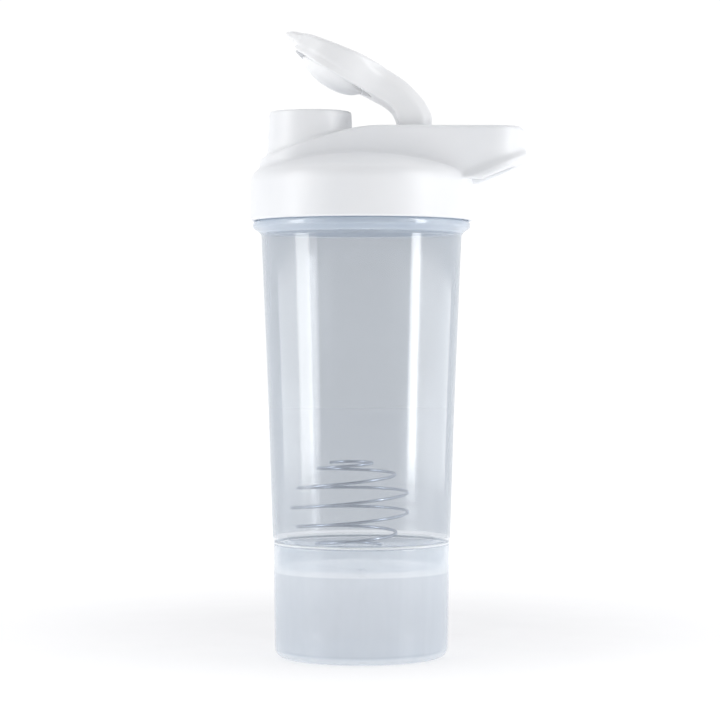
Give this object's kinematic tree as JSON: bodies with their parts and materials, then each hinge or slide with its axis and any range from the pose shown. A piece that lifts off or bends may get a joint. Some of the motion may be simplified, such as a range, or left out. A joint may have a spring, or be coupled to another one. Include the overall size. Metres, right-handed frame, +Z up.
{
  "type": "protein shaker bottle",
  "caption": "Clear shaker bottle with a white screw lid, flip cap over a round spout, carry loop, wire mixer spring and a screw-on storage cup underneath.",
  "frame": {"origin": "centre of the storage cup's flat base, where the bottle's axis meets the surface it stands on", "axes": "+Z up along the bottle's axis, +X from the axis towards the carry loop, -X towards the spout, +Y along the flip cap's hinge axis"},
  "size_m": [0.1112, 0.0888, 0.2496],
  "materials": {
    "frosted_body": "clear, slightly milky moulded polypropylene, semi-gloss",
    "frosted_cup": "clear, slightly milky moulded polypropylene, semi-gloss",
    "white_lid": "white moulded polypropylene, satin",
    "white_cap": "white moulded polypropylene, satin",
    "soft_plug": "translucent white soft plastic",
    "silicone": "translucent silicone",
    "steel_wire": "drawn and polished stainless wire"
  },
  "bodies": {
    "bottle": {"bottle_body": "frosted_body"},
    "lid_seal": {"lid_gasket": "silicone"},
    "lid": {"lid": "white_lid"},
    "cap": {"flip_cap": "white_cap", "spout_plug": "soft_plug"},
    "spring": {"mixer_spring": "steel_wire"},
    "cup_seal": {"storage_gasket": "silicone"},
    "cup": {"storage_cup": "frosted_cup"}
  },
  "joints": [
    {"name": "lid_lift", "type": "slide", "parent": "bottle", "child": "lid_seal", "axis": [0, 0, 1], "range_m": [0, 0.02001]},
    {"name": "lid_turn", "type": "hinge", "parent": "lid_seal", "child": "lid", "pos_m": [0, 0, 0.18], "axis": [0, 0, 1], "range_deg": [0, 1440]},
    {"name": "cap_hinge", "type": "hinge", "parent": "lid", "child": "cap", "pos_m": [0.0192, 0, 0.206], "axis": [0, 1, 0], "range_deg": [-31, 74]},
    {"name": "spring_slide", "type": "slide", "parent": "bottle", "child": "spring", "axis": [0, 0, 1], "range_m": [0, 0.105]},
    {"name": "cup_drop", "type": "slide", "parent": "bottle", "child": "cup_seal", "axis": [0, 0, -1], "range_m": [0, 0.01201]},
    {"name": "cup_turn", "type": "hinge", "parent": "cup_seal", "child": "cup", "pos_m": [0, 0, 0.04], "axis": [0, 0, -1], "range_deg": [0, 1080]}
  ],
  "couplings": [
    {"joint": "lid_lift", "follows": "lid_turn", "m_per_rad": 0.00079577},
    {"joint": "cup_drop", "follows": "cup_turn", "m_per_rad": 0.00063662}
  ]
}
